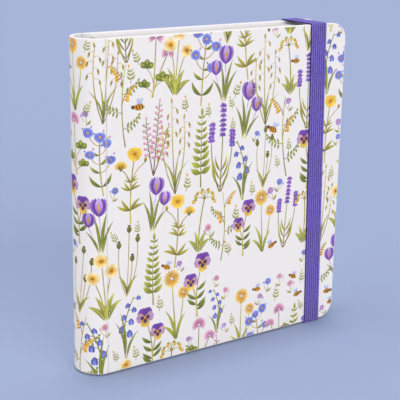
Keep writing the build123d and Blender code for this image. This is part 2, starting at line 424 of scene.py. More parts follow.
def crocus(plant):
    """Lilac goblet with dark veins between strap leaves."""
    petals = (
        (-2.6, "violet", "lilac"),
        (2.6, "violet", "lilac"),
        (-1.4, "plum", "violet"),
        (1.4, "plum", "violet"),
        (0.0, "violet", "mauve"),
    )
    for foot, top, size in ((0.0, 0.6 + 20j, 1.0), (1.4, 6.4 + 14j, 0.8)):
        plant.stem(foot, top, 0.02, 1.0, "cream", "mauve")
        for spread, near, far in petals:
            tip = top + size * complex(1.25 * spread, 10.5 - 0.3 * abs(spread))
            plant.petal(top, tip, 4.2 * size, near, far, 0.56, 0.8, -0.035 * spread, "plum")
        plant.petal(top + 1.5j, top + size * (0.1 + 7j), size, "amber", "gold", 0.6)
    tips = (-7.5 + 17j, -4 + 23j, 8.5 + 12j, 3.8 + 21j)
    plant.tuft(tips, (1.7, 1.8, 1.5, 1.6), 0.012, "moss", "leaf", "lime", 0.15)


def clover(plant):
    """Round pink heads over three-part leaves."""
    rings = ((4.3, 13, "rose", "blush"), (3.0, 11, "rose", "pink"), (1.7, 8, "plum", "pink"))
    for foot, top, size in ((0.0, 1 + 27j, 1.0), (0.6, -6 + 20j, 0.85)):
        plant.stem(foot, top, 0.004 * top.real, 0.75)
        for reach, count, near, far in rings:
            for angle in np.linspace(-35, 215, count):
                out = size * reach * heading(angle, 0.95)
                plant.petal(top + 0.35 * out, top + out, 1.15 * size, near, far, 0.6)
    for place, spread in ((4.6 + 13j, 1.0), (-4.2 + 7.5j, 1.1), (5.2 + 4.5j, 0.9)):
        plant.stem(0.1 + 0.35j * place.imag, place, math.copysign(0.1, place.real), 0.5)
        for angle in (35, 90, 145):
            out = spread * heading(angle)
            plant.petal(place, place + 4.2 * out, 3.0 * spread, "moss", "leaf", 0.6, 0.75)
            plant.petal(place + 1.5 * out, place + 3.3 * out, 1.1 * spread, "leaf", "lime", 0.6)


def leafy_sprig(plant):
    """Upright twig of paired oval leaves."""
    line = plant.stem(0, plant.rng.uniform(-2, 2) + 37j, plant.rng.uniform(-0.04, 0.04), 0.8, "olive", "lime")
    for level, _, node in nodes(line, 0.2 + 0.095 * np.arange(9)):
        reach = 7.0 - 0.52 * level
        for side in (-1, 1):
            tip = node + reach * complex(0.86 * side, plant.rng.uniform(0.45, 0.7))
            near = "moss" if (level + side) % 3 else "leaf"
            plant.leaf(node, tip, 0.44 * reach, -0.08 * side, near, rib="moss")
    plant.leaf(line[-1] - 0.5j, line[-1] + 0.2 + 4j, 1.7, 0, "leaf", rib="moss")


def oat_grass(plant):
    """Straw stems with hanging seeds and fine blades."""
    for top in (-5.5 + 34j, 0.8 + 42j, 6 + 31j):
        line = plant.stem(0, top, -0.012 * top.real, 0.6, "olive", "straw")
        for _, side, node in nodes(line, 0.6 + 0.07 * np.arange(6)):
            hang = node + complex(side * plant.rng.uniform(1.8, 2.8), plant.rng.uniform(-0.6, 1.0))
            plant.stem(node, hang, 0.2 * side, 0.3, "straw", "straw")
            plant.petal(hang, hang + 0.7 * side - 2.9j, 1.1, "olive", "straw", 0.4, vein="umber")
        plant.petal(top, top + 0.1 * top.real + 2.8j, 1.0, "olive", "straw", 0.4)
    plant.tuft((-8 + 15j, 7.6 + 18j, -3 + 20j, 3.4 + 13j), 0.95, 0.016, foot=0)


def vetch(plant):
    """Climbing stem with rows of leaflets and one-sided sprays of golden flowers."""
    line = plant.stem(0, 1.5 + 40j, 0.05, 0.7, "olive", "lime")
    for _, side, node in nodes(line, (0.22, 0.42, 0.64)):
        stalk = plant.stem(node, node + 9 * side + 5.5j, -0.12 * side, 0.4, "olive", "lime")
        for number, _, place in nodes(stalk, 0.22 + 0.19 * np.arange(5)):
            for up in (-1, 1):
                tip = place + complex(0.9 * side, up * (2.9 - 0.3 * number))
                plant.leaf(place, tip, 1.1, 0, "moss", "leaf", "lime")
    for _, side, node in nodes(line, (0.5, 0.76)):
        stalk = plant.stem(node, node + 6 * side + 9.5j, 0.1 * side, 0.5, "olive", "olive")
        for number, _, place in nodes(stalk, 0.3 + 0.14 * np.arange(6)):
            reach = 3.6 - 0.35 * number
            out = reach * complex(side * (0.8 if number % 2 else 0.95), -0.3)
            plant.petal(place, place + out, 0.42 * reach, "amber", "gold", 0.62)
            plant.petal(place + 0.35 * out, place + out + 0.5j * reach, 0.36 * reach, "gold", "lemon", 0.6)


def heather(plant):
    """Stems lined with small pink bells."""
    for top in (0.6 + 37j, -6.5 + 28j, 6.8 + 25j):
        line = plant.stem(0, top, -0.02 * top.real / 6, 0.65, "umber", "olive")
        levels = top.imag / 2.3
        for level, side, node in nodes(line, 0.34 + 0.63 * np.arange(int(levels)) / levels):
            place = node + 0.5 * side + 0.3j
            reach = 2.7 - 0.9 * level / levels
            plant.petal(place, place + reach * (side - 0.35j), 1.5, "rose", "pink", 0.62)
            plant.petal(place, place + reach * (0.7 * side - 0.1j), 0.7, "pink", "blush", 0.62)
            plant.leaf(node, node - 1.8 * side + 1.3j, 0.5, 0, "moss", "leaf", "moss")
        plant.bud(top, 0.1 + 1j, 1.8, "rose", "blush")


def primrose(plant):
    """Pale yellow blossoms with golden eyes over crinkled leaves."""
    for tip, width in ((-8.4 + 7.5j, 2.6), (8.4 + 8.5j, 2.7), (-4.6 + 12.5j, 2.6), (5 + 13j, 2.6)):
        plant.tuft([tip], width, 0.02, rib="cream")
        for _, _, place in nodes(bowed(0.1 * tip.real, tip, 0.02 * tip.real), (0.35, 0.5, 0.65)):
            vein = bowed(place, place + 0.3 * width + 0.9j, 0.1, 3)
            plant.ink(widened(vein, (0.1, 0.08, 0.04)), "olive", "lime", place, place + 1 + 1j)
    for top, size in ((-5 + 21j, 3.6), (4.2 + 23.5j, 3.8), (-0.4 + 29j, 3.9)):
        lean = top.real
        plant.stem(0.1 * lean + 1j, top, 0.01 * lean, 0.65, "lime", "olive")
        plant.ring(top, size, 5, "gold", "cream", 0.85, 0.2 * lean, 1.05, "gold")
        plant.ring(top, 0.42 * size, 5, "amber", "gold", 0.85, 0.2 * lean, 0.9)
        plant.dot(top, 0.5, "moss", "moss", sides=6)


def pansy(plant):
    """Two-coloured faces on leafy stems."""
    petals = (
        (-2.6 + 4.4j, "plum", "violet"),
        (2.6 + 4.4j, "plum", "violet"),
        (-4.6 + 0.4j, "gold", "lilac"),
        (4.6 + 0.4j, "gold", "lilac"),
        (-4.6j, "amber", "lemon"),
    )
    for top, size in ((-3.6 + 19j, 0.95), (3.4 + 28j, 1.1)):
        line = plant.stem(0.1 * top.real, top, 0.02 * top.real, 0.75)
        for _, side, node in nodes(line, (0.2, 0.34, 0.5)):
            plant.leaf(node, node + 5.4 * side + 4j, 2.0, -0.1 * side, "moss", "leaf")
        for out, near, far in petals:
            foot = top - 0.1 * size * out
            plant.petal(foot, top + size * out, 4.7 * size, near, far, 0.66, 0.6, vein="plum")
        for out in (-2.5 + 0.2j, 2.5 + 0.2j, -2.6j):
            plant.petal(top, top + size * out, 2.0 * size, "bark", "plum", 0.6)
        plant.dot(top, 0.6 * size, "amber", "gold", sides=7)


def globe_flower(plant):
    """Ball of narrow golden petals on a bare stem, each ring of them turned by its own reach."""
    rings = ((4.9, 17, "amber", "lemon"), (3.4, 13, "amber", "gold"), (1.9, 9, "umber", "gold"))
    for top, size in ((0.4 + 33j, 1.0), (-6 + 24j, 0.75)):
        plant.stem(0, top, -0.006 * top.real, 0.8, "olive", "lime")
        for reach, count, near, far in rings:
            for number in range(count):
                out = size * reach * heading(360 * number / count + math.degrees(reach))
                plant.petal(top + 0.3 * out, top + out, 1.25 * size, near, far, 0.72)
    plant.tuft((-6.6 + 13j, 5.4 + 17j, 7.6 + 9j), 1.9, 0.016, "leaf", rib="moss")


def cowslip(plant):
    """Nodding cluster of golden bells over a ring of leaves."""
    top = 0.6 + 27j
    plant.stem(0, top, 0.03, 0.95, "lime", "olive")
    for angle, reach in ((168, 6.0), (135, 7.2), (105, 7.8), (75, 7.8), (45, 7.2), (12, 6.0)):
        out = heading(angle)
        tip = top + 0.75 * reach * out
        fall = 2.4 * out.real - 2.6j
        plant.stem(top, tip, math.copysign(0.12, out.real), 0.5, "olive", "lime")
        plant.petal(tip, tip + 0.62 * fall, 1.9, "lime", "leaf", 0.5)
        plant.petal(tip + 0.35 * fall, tip + fall, 2.7, "amber", "lemon", 0.75, vein="amber")
        plant.dot(tip + fall, 0.55, "amber", "amber", 0.6, 6)
    plant.tuft((-6.6 + 6.5j, 6.4 + 7j, -3.4 + 11j, 3.8 + 11.5j), (2.3, 2.3, 2.2, 2.2), 0.02, rib="cream")


def bluebell(plant):
    """Arching stem of hanging blue bells."""
    petals = ((-0.9, "indigo", "cobalt"), (0.9, "indigo", "cobalt"), (0.0, "cobalt", "sky"))
    line = plant.stem(0, 5 + 33j, 0.1, 0.85, "olive", "leaf")
    for number, side, node in nodes(line, 0.42 + 0.092 * np.arange(7)):
        tip = node + 2.4 * side + 0.8 + 1.2j
        plant.stem(node, tip, -0.2 * side, 0.4, "olive", "plum")
        length = 4.6 - 0.3 * number
        for spread, near, far in petals:
            end = tip + spread + 0.3 * side - 1j * length
            plant.petal(tip, end, 0.42 * length, near, far, 0.6, bow=0.07 * spread)
    plant.tuft((-6 + 21j, -3 + 26j, 7.5 + 14j), 1.5, 0.015, "moss", "leaf", "lime")


def seed_heads(plant):
    """Bare stems that end in ripe pods."""
    for top in (-4.8 + 24j, 0.4 + 31j, 5 + 26j, 2.4 + 17j):
        crown = top + 0.03 * top.real + 3.2j
        plant.stem(0, top, -0.015 * top.real, 0.55)
        plant.petal(top - 0.4j, crown, 2.6, "moss", "olive", 0.5, vein="pine")
        plant.dot(crown, 0.95, "bark", "umber", 0.4, 7)
    for tip in (-5.2 + 11j, 5.6 + 10j):
        plant.leaf(1j, tip, 1.4, 0.02 * tip.real)


def bee(plant):
    """Small golden bee with pale wings."""
    for tip, width in ((-4.2 + 4.4j, 2.5), (-1 + 5j, 2.1)):
        plant.petal(0.8j, tip, width, "sky", "wing", 0.65, vein="olive")
    plant.petal(3.2 + 0.4j, -4.4 - 1j, 3.8, "amber", "gold", 0.5, 0.75)
    for place in (-2.6, -0.9, 0.8):
        stripe = bowed(place - 1.7j, place + 0.5 + 1.4j, 0.12, 4)
        plant.ink(widened(stripe, (0.3, 0.42, 0.42, 0.3)), "bark", "umber", -2j, 2j)
    plant.dot(3.2 + 0.5j, 1.15, "bark", "umber")


def single_blossom(plant):
    """One blossom and a bud on short stalks."""
    shades = (("cobalt", "sky", "gold"), ("violet", "mauve", "lemon"), ("rose", "blush", "gold"))
    shade = plant.rng.choice(shades)
    plant.stem(0, 0.4 + 6.6j, 0.06, 0.5)
    plant.stem(0.1 + 1.6j, 3.2 + 5.6j, -0.1, 0.4)
    plant.leaf(0.6j, -3.4 + 3.8j, 1.3, 0.1)
    plant.bud(3.2 + 5.4j, 0.3 + 1j, 1.9, *shade[:2])
    plant.blossom(0.4 + 7.4j, 2.6, *shade)


def twig(plant):
    """Short twig with paired leaves and a bud."""
    line = plant.stem(0, 0.8 + 8.6j, 0.08, 0.45, "olive", "lime")
    for share, reach in ((0.25, 3.4), (0.5, 3.0), (0.74, 2.4)):
        node = point_on(line, share)
        for side in (-1, 1):
            plant.leaf(node, node + reach * (0.8 * side + 0.7j), 0.36 * reach, -0.1 * side, rib="leaf")
    plant.bud(line[-1], 0.1 + 1j, 2.2, "amber", "lemon")


TALL_PLANTS = (
    forget_me_not, buttercup, lavender, clover, leafy_sprig, crocus, oat_grass, vetch,
    primrose, heather, pansy, globe_flower, cowslip, bluebell, seed_heads,
)
SMALL_PLANTS = (single_blossom, twig, single_blossom, twig, bee)


# Sowing the plants over the sheet


def pairs(points):
    """Flat points as rows of two numbers."""
    return np.column_stack([points.real, points.imag])


def limits(points):
    """Lowest and highest corner of some flat points."""
    rows = pairs(points)
    return rows.min(axis=0), rows.max(axis=0)


def extent(shapes):
    """Lowest and highest corner of some shapes."""
    return limits(np.concatenate([shape[0] for shape in shapes]))


def reach_into(shapes, low, high):
    """Whether shapes reach into the box between two corners."""
    first, last = extent(shapes)
    return bool(np.all(first < high) and np.all(last > low))


def set_out(plant, place, size, lean, flip):
    """Shapes of a plant at its place on the sheet, mirrored where flip is -1."""
    turn = cmath.rect(size, lean)

    def moved(points):
        return turn * (points if flip > 0 else -np.conj(points)) + place

    return [
        (moved(outline), near, far, moved(start), moved(end))
        for outline, near, far, start, end in plant.shapes
    ]


def spine_table():
    """Length round the spine from the front crease, against the angle there."""
    angle = np.linspace(0, np.pi, SPINE_SAMPLES)
    run = np.hypot(np.diff(SPINE_BULGE * np.sin(angle)), np.diff(HALF_BOOK * np.cos(angle)))
    return np.append(0.0, np.cumsum(run)), angle


SPINE_LENGTHS, SPINE_ANGLES = spine_table()
SPINE_ARC = SPINE_LENGTHS[-1]
SHEET_START = -SPINE_ARC - PANEL_WIDTH
SHEET_WIDTH = 2 * PANEL_WIDTH + SPINE_ARC


def sow_columns(rng):
    """Tall plants in upright columns over back, spine and front."""
    shapes = []
    bag = []
    for column in range(int(SHEET_WIDTH / COLUMN_PITCH) + 2):
        height = -rng.uniform(*COLUMN_DROP)
        while height < COVER_HEIGHT:
            if not bag:
                bag = list(TALL_PLANTS)
                rng.shuffle(bag)
            plant = Plant(rng.random(), bag.pop())
            across = SHEET_START + column * COLUMN_PITCH + rng.uniform(-COLUMN_SHIFT, COLUMN_SHIFT)
            size = rng.uniform(*TALL_SIZES)
            lean = rng.uniform(-TALL_LEAN, TALL_LEAN)
            flip = rng.choice((-1, 1))
            laid = set_out(plant, across + 1j * height, size, lean, flip)
            if reach_into(laid, BARE_LOW, BARE_HIGH) and height < BARE_LOW[1]:
                size *= max((BARE_LOW[1] - BARE_MARGIN - height) / (extent(laid)[1][1] - height), 0)
                laid = set_out(plant, across + 1j * height, size, lean, flip)
            if reach_into(laid, BARE_LOW, BARE_HIGH) or size < LEAST_SIZE:
                laid = set_out(plant, across + 1j * (BARE_HIGH[1] + BARE_MARGIN), 1.0, lean, flip)
            shapes += laid
            height = extent(laid)[1][1] + ROW_GAP
    return shapes


def sow_fillers(shapes, rng):
    """Small plants where the columns leave a gap."""
    start = np.array([SHEET_START, 0.0])
    cells = (np.array([SHEET_WIDTH, COVER_HEIGHT]) / FILL_CELL).astype(int) + 1
    taken = np.zeros(cells, bool)

    def mark(laid):
        for shape in laid:
            inside = ((pairs(shape[0]) - start) / FILL_CELL).astype(int)
            inside = inside[np.all((inside >= 0) & (inside < cells), axis=1)]
            taken[tuple(inside.T)] = True

    mark(shapes)
    fillers = []
    spots = [(i, j) for i in range(cells[0]) for j in range(cells[1])]
    rng.shuffle(spots)
    for i, j in spots:
        near_rows = taken[max(i - FILL_REACH, 0):i + FILL_REACH + 1]
        if near_rows[:, max(j - FILL_REACH, 0):j + FILL_REACH + 1].any():
            continue
        plant = Plant(rng.random(), rng.choice(SMALL_PLANTS))
        middle = np.mean(extent(plant.shapes), axis=0)
        place = complex(*(start + FILL_CELL * np.array([i, j]) - middle))
        size = rng.uniform(*SMALL_SIZES)
        lean = rng.uniform(-SMALL_LEAN, SMALL_LEAN)
        laid = set_out(plant, place, size, lean, rng.choice((-1, 1)))
        if not reach_into(laid, BARE_LOW, BARE_HIGH):
            mark(laid)
            fillers += laid
    return fillers


def draw_print():
    """All the shapes of the print, in the order in which they are laid down."""
    rng = random.Random(SOWING_SEED)
    shapes = sow_columns(rng)
    return shapes + sow_fillers(shapes, rng)


# Folding the flat sheet round the case


def fold_levels(depth):
    """Distances outside an outline at which paper folded over an edge bends, and the paper's whole reach."""
    flat_edge = depth - 2 * EDGE_ROUND
    steps = np.linspace(0, EDGE_ARC, EDGE_STEPS + 1)
    beyond = np.concatenate([steps, steps + EDGE_ARC + flat_edge])
    return beyond - EDGE_ROUND, 2 * EDGE_ARC + flat_edge + SHOWN_TURN_IN - EDGE_ROUND


def fold_over(distance, depth, lift):
    """Where a point that lies a distance outside the outline comes to when the paper is folded over the edge.

    Returns how far out and how deep it is and which way the paper faces there. A lift puts it under the face.
    """
    beyond = distance + EDGE_ROUND
    flat_edge = depth - 2 * EDGE_ROUND
    first = np.clip(beyond / EDGE_ROUND, 0, np.pi / 2)
    second = np.clip((beyond - EDGE_ARC - flat_edge) / EDGE_ROUND, 0, np.pi / 2)
    down = np.clip(beyond - EDGE_ARC, 0, flat_edge)
    back = np.maximum(beyond - 2 * EDGE_ARC - flat_edge, 0)
    out = np.minimum(beyond, 0) - EDGE_ROUND + EDGE_ROUND * (np.sin(first) + np.cos(second) - 1) - back
    deep = EDGE_ROUND * (1 - np.cos(first) + np.sin(second)) + down
    face_out = np.sin(first + second)
    face_deep = -np.cos(first + second)
    return out - lift * face_out, deep - lift * face_deep, face_out, face_deep


def groove(distance):
    """Depth and slope of the crease's groove at a distance from the edge of the paper there."""
    share = np.clip(1 - distance / GROOVE_WIDTH, 0, 1)
    return GROOVE_DEPTH * share**2, -2 * GROOVE_DEPTH / GROOVE_WIDTH * share


def unit(vectors):
    """The same vectors with a length of one."""
    return vectors / np.linalg.norm(vectors, axis=1, keepdims=True)


def panel_place(side, flat, lift):
    """Points and normals in space of a panel's flat points, on the front (-1) or the back (+1)."""
    across = flat.real if side < 0 else -SPINE_ARC - flat.real
    rise = flat.imag - COVER_HEIGHT / 2
    over_across = np.maximum(across - (PANEL_WIDTH - COVER_CORNER), 0)
    over_rise = np.maximum(np.abs(rise) - (COVER_HEIGHT / 2 - COVER_CORNER), 0)
    radius = np.hypot(over_across, over_rise)
    safe = np.maximum(radius, TINY)
    out_across = over_across / safe
    out_rise = over_rise / safe * np.sign(rise)
    distance = radius - COVER_CORNER
    out, deep, face_out, face_deep = fold_over(distance, COVER_DEPTH, lift)
    sunk, slope = groove(across - CREASE_GAP / 2)
    shift = out - distance
    points = np.column_stack([
        CREASE_X + across + out_across * shift,
        side * (HALF_BOOK - deep + sunk * face_deep),
        TAIL_Z + flat.imag + out_rise * shift,
    ])
    normals = np.column_stack([
        out_across * face_out - slope * face_deep,
        -side * face_deep,
        out_rise * face_out,
    ])
    return points, unit(normals)


def spine_place(flat, lift):
    """Points and normals in space of the spine's flat points."""
    angle = np.interp(-flat.real, SPINE_LENGTHS, SPINE_ANGLES)
    rise = flat.imag - COVER_HEIGHT / 2
    out, deep, face_out, face_deep = fold_over(np.abs(rise) - COVER_HEIGHT / 2, SPINE_DEPTH, lift)
    outward = unit(np.column_stack([-np.sin(angle) * HALF_BOOK, -np.cos(angle) * SPINE_BULGE]))
    sunk, slope = groove(np.minimum(-flat.real, SPINE_ARC + flat.real) - CREASE_GAP / 2)
    depth = deep - sunk * face_deep
    points = np.column_stack([
        CREASE_X - SPINE_BULGE * np.sin(angle) - outward[:, 0] * depth,
        -HALF_BOOK * np.cos(angle) - outward[:, 1] * depth,
        TAIL_Z + COVER_HEIGHT / 2 + np.sign(rise) * (COVER_HEIGHT / 2 + out),
    ])
    normals = np.column_stack([-outward * face_deep[:, None], np.sign(rise) * face_out])
    normals[:, 0] += slope * face_deep
    return points, unit(normals)


def upright(across, reach):
    """Line up the flat sheet, over the cover's height and a reach beyond it."""
    return across + 1j * np.array([-reach, COVER_HEIGHT + reach])


def panel_contour(distance):
    """Line round tail, fore edge and head of the flat front panel, at a distance outside its outline."""
    turn = np.linspace(-np.pi / 2, 0, CORNER_STEPS + 1)
    corner = complex(PANEL_WIDTH - COVER_CORNER, COVER_CORNER)
    tail = np.append(CREASE_GAP / 2 - 1j * distance, corner + (COVER_CORNER + distance) * np.exp(1j * turn))
    return np.append(tail, np.conj(tail[::-1]) + 1j * COVER_HEIGHT)


def panel_sheet(side):
    """Outline, print area and fold lines of a flat panel on the front (-1) or the back (+1)."""
    levels, reach = fold_levels(COVER_DEPTH)
    lines = [panel_contour(level) for level in (reach, *levels)]
    lines += [upright(CREASE_GAP / 2 + step, reach) for step in GROOVE_LINES]
    if side > 0:
        lines = [-SPINE_ARC - np.conj(line) for line in lines]
    return lines[0], lines[1], lines[2:]


def spine_sheet():
    """Outline, print area and fold lines of the flat spine."""
    levels, reach = fold_levels(SPINE_DEPTH)
    low = CREASE_GAP / 2 - SPINE_ARC
    high = -CREASE_GAP / 2

    def rectangle(distance):
        tail = np.array([low, high]) - 1j * distance
        return np.append(tail, np.conj(tail[::-1]) + 1j * COVER_HEIGHT)

    lines = []
    for level in levels[1:]:
        lines += np.split(rectangle(level), 2)
    for across in np.linspace(low, high, SPINE_STEPS + 1)[1:-1]:
        lines.append(upright(across, reach))
    for step in GROOVE_LINES:
        lines += [upright(low + step, reach), upright(high - step, reach)]
    return rectangle(reach), rectangle(levels[0]), lines


# Meshes


def anticlockwise(outline):
    """The same outline, running anticlockwise."""
    area = np.sum((np.conj(outline) * np.roll(outline, -1)).imag)
    return outline if area > 0 else outline[::-1]


def triangulate(loops, lines):
    """Triangles inside the first loop, cut along every loop and line.

    Returns the points, the triangles and, for each triangle, the numbers of the loops that it lies in.
    """
    points = []
    faces = []
    edges = []
    for loop in loops:
        first = len(points)
        points += [Vector(p) for p in pairs(anticlockwise(loop))]
        faces.append(list(range(first, len(points))))
    for line in lines:
        first = len(points)
        points += [Vector(p) for p in pairs(line)]
        edges += [(k, k + 1) for k in range(first, len(points) - 1)]
    made, _, triangles, _, _, owners = delaunay_2d_cdt(points, edges, faces, INSIDE_TRIANGLES, WELD, True)
    kept = [(tri, numbers) for tri, numbers in zip(triangles, owners) if 0 in numbers]
    return np.array([complex(*p) for p in made]), [tri for tri, _ in kept], [numbers for _, numbers in kept]


def border(triangles):
    """Points round the edge of a sheet of triangles, in order."""
    ahead = {}
    for tri in triangles:
        for k in range(3):
            ahead[(tri[k], tri[(k + 1) % 3])] = True
    following = {a: b for a, b in ahead if (b, a) not in ahead}
    start = next(iter(following))
    loop = [start]
    while following[loop[-1]] != start:
        loop.append(following[loop[-1]])
    return loop


def walls(loop, under):
    """Faces between a loop of points and the loop under it."""
    return list(zip(loop[1:] + loop[:1], loop, under, under[1:] + under[:1]))


def place_object(name, data):
    """New object in the scene."""
    made = bpy.data.objects.new(name, data)
    bpy.context.scene.collection.objects.link(made)
    return made


def new_object(name, points_mm, faces, *materials):
    """Mesh object from points in mm."""
    mesh = bpy.data.meshes.new(name)
    mesh.from_pydata((np.asarray(points_mm) * MM).tolist(), [], faces)
    for material in materials:
        mesh.materials.append(material)
    return place_object(name, mesh)


def mend_normals(made):
    """Turns every face of a closed mesh outwards."""
    shape = bmesh.new()
    shape.from_mesh(made.data)
    bmesh.ops.recalc_face_normals(shape, faces=shape.faces)
    shape.to_mesh(made.data)
    shape.free()


def closed_grid(name, front, back, material):
    """Closed strip between two grids of points of the same size."""
    rows, columns = front.shape[:2]
    under = rows * columns
    number = np.arange(under).reshape(rows, columns)
    quads = np.stack([number[:-1, :-1], number[:-1, 1:], number[1:, 1:], number[1:, :-1]], axis=2)
    quads = quads.reshape(-1, 4)
    loop = np.concatenate([number[0], number[1:, -1], number[-1, -2::-1], number[-2:0:-1, 0]])
    faces = quads.tolist() + (under + quads[:, ::-1]).tolist() + walls(loop.tolist(), (under + loop).tolist())
    made = new_object(name, np.vstack([front.reshape(-1, 3), back.reshape(-1, 3)]), faces, material)
    mend_normals(made)
    return made


def winds_round(outline, places):
    """Whether an outline winds round each place."""
    first = outline[None, :] - places[:, None]
    second = np.roll(first, -1, axis=1)
    cross = (np.conj(first) * second).imag
    upward = (first.imag <= 0) & (second.imag > 0) & (cross > 0)
    downward = (first.imag > 0) & (second.imag <= 0) & (cross < 0)
    return upward.sum(axis=1) != downward.sum(axis=1)


def top_inks(flat, triangles, owners, shapes):
    """Number of the uppermost shape on each triangle of the print area, or -1 on bare paper."""
    middles = flat[np.asarray(triangles)].mean(axis=1)
    order = np.argsort(middles.real)
    across = middles.real[order]
    inks = np.full(len(triangles), -1)
    for number, shape in enumerate(shapes):
        low, high = extent([shape])
        first, last = np.searchsorted(across, (low[0], high[0]))
        near = order[first:last]
        near = near[(middles.imag[near] > low[1]) & (middles.imag[near] < high[1])]
        inks[near[winds_round(shape[0], middles[near])]] = number
    inks[[PRINT_LOOP not in numbers for numbers in owners]] = -1
    return inks


def ink_colours(flat, triangles, inks, shapes):
    """Colour and ink cover at each corner of each triangle."""
    colours = np.tile(BARE_PAPER, (len(triangles), 3, 1))
    inked = inks >= 0
    corners = flat[np.asarray(triangles)[inked]]
    near, far, start, end = (np.array(column)[inks[inked], None] for column in list(zip(*shapes))[1:])
    run = end - start
    share = np.clip(((corners - start) * np.conj(run)).real / np.abs(run) ** 2, 0, 1)[:, :, None]
    colours[inked, :, :3] = near * (1 - share) + far * share
    colours[inked, :, 3] = 1.0
    return colours


def colour_corners(mesh, colours=()):
    """Colours for the print, on the first corners of a mesh; the others stay bare."""
    printed = np.reshape(colours, (-1, 4))
    every = np.tile(BARE_PAPER, (len(mesh.loops), 1)).astype(np.float32)
    every[:len(printed)] = printed
    mesh.color_attributes.new("print", "FLOAT_COLOR", "CORNER").data.foreach_set("color", every.ravel())


def map_sheet(mesh, outline, flat, under_flat, rim_count):
    """Map for baking: the face of the sheet, beside it the underside as a strip and the rim as a line."""
    low, high = limits(outline)
    wide = (low[0], high[0])
    across = np.append(np.interp(flat.real, wide, MAP_FACE), np.interp(under_flat.real, wide, MAP_UNDERSIDE))
    up = np.interp(np.append(flat, under_flat).imag, (low[1], high[1]), MAP_UP)
    corner_points = np.zeros(len(mesh.loops), np.int32)
    mesh.loops.foreach_get("vertex_index", corner_points)
    spots = np.column_stack([across, up])[corner_points]
    left, right = MAP_RIM
    along = np.linspace(*MAP_UP, rim_count + 1)
    strip = [((left, b), (left, a), (right, a), (right, b)) for a, b in zip(along, along[1:])]
    spots[-4 * rim_count:] = np.reshape(strip, (-1, 2))
    mesh.uv_layers.new(name="OFBake").data.foreach_set("uv", spots.astype(np.float32).ravel())


def printed_sheet(name, sheet, place, shapes):
    """Closed mesh of one part of the cover paper, with its print as corner colours."""
    outline, print_area, lines = sheet
    inside = [shape for shape in shapes if reach_into([shape], *limits(print_area))]
    drawn = [np.append(shape[0], shape[0][0]) for shape in inside]
    flat, triangles, owners = triangulate([outline, print_area], lines + drawn)
    inks = top_inks(flat, triangles, owners, inside)
    rim = border(triangles)
    under_flat, under_triangles, _ = triangulate([flat[rim], print_area], lines)
    points, normals = place(flat, 0.0)
    under_points, under_normals = place(under_flat, PAPER)
    count = len(points)
    partner = {np.round(under_flat[k], MATCH_DIGITS): count + k for k in border(under_triangles)}
    faces = [tuple(tri) for tri in triangles]
    faces += [tuple(count + k for k in reversed(tri)) for tri in under_triangles]
    faces += walls(rim, [partner[np.round(flat[k], MATCH_DIGITS)] for k in rim])
    made = new_object(name, np.vstack([points, under_points]), faces, COVER)
    mesh = made.data
    colour_corners(mesh, ink_colours(flat, triangles, inks, inside))
    map_sheet(mesh, outline, flat, under_flat, len(rim))
    mesh.shade_smooth()
    mesh.normals_split_custom_set_from_vertices(np.vstack([normals, -under_normals]).tolist())
    return made


# Materials


class Shader:
    """Nodes of one material or world."""

    def __init__(self, owner, surface="Principled BSDF"):
        owner.use_nodes = True
        self.owner = owner
        self.tree = owner.node_tree
        self.surface = self.tree.nodes[surface]

    def fill(self, node, inputs):
        """Sets inputs of a node, or links them where the value is another node's output."""
        for key, value in inputs.items():
            if isinstance(value, bpy.types.NodeSocket):
                self.tree.links.new(value, node.inputs[key])
            else:
                node.inputs[key].default_value = value

    def add(self, kind, inputs, **settings):
        node = self.tree.nodes.new(kind)
        for key, value in settings.items():
            setattr(node, key, value)
        self.fill(node, inputs)
        return node.outputs

    def set(self, **values):
        self.fill(self.surface, {key.replace("_", " "): value for key, value in values.items()})

    def bump(self, height, strength, distance):
        inputs = {"Height": height, "Strength": strength, "Distance": distance}
        self.set(Normal=self.add("ShaderNodeBump", inputs)[0])

    def math(self, operation, first, second=0.0):
        return self.add("ShaderNodeMath", {0: first, 1: second}, operation=operation)[0]

    def wave(self, value, pitch):
        return self.math("SINE", self.math("MULTIPLY", value, 2 * math.pi / pitch))

    def mix(self, factor, first, second, blend="MIX"):
        # Sockets 6 and 7 and output 2 are the ones that carry colours.
        inputs = {0: factor, 6: first, 7: second}
        return self.add("ShaderNodeMix", inputs, data_type="RGBA", blend_type=blend)[2]

    def shaded(self, colour, shade):
        return self.mix(1.0, colour, shade, "MULTIPLY")

    def attribute(self, name):
        return self.add("ShaderNodeAttribute", {}, attribute_name=name)

    def where(self):
        return self.add("ShaderNodeTexCoord", {})["Object"]

    def stretched(self, scale):
        return self.add("ShaderNodeMapping", {"Vector": self.where(), "Scale": scale})["Vector"]

    def axes(self):
        return self.add("ShaderNodeSeparateXYZ", {"Vector": self.where()})

    def seen(self):
        """One where the camera looks straight at it, nought for the light that it throws back."""
        return self.add("ShaderNodeLightPath", {})["Is Camera Ray"]

    def noise(self, scale, detail=3.0, vector=None):
        inputs = {"Scale": scale, "Detail": detail, "Vector": vector or self.where()}
        return self.add("ShaderNodeTexNoise", inputs)["Fac"]

    def spread(self, value, low=0.0, high=1.0, from_low=0.3, from_high=0.7):
        inputs = {"Value": value, "From Min": from_low, "From Max": from_high, "To Min": low, "To Max": high}
        return self.add("ShaderNodeMapRange", inputs)["Result"]


def new_shader(name):
    """Shader of a new material."""
    return Shader(bpy.data.materials.new(name))


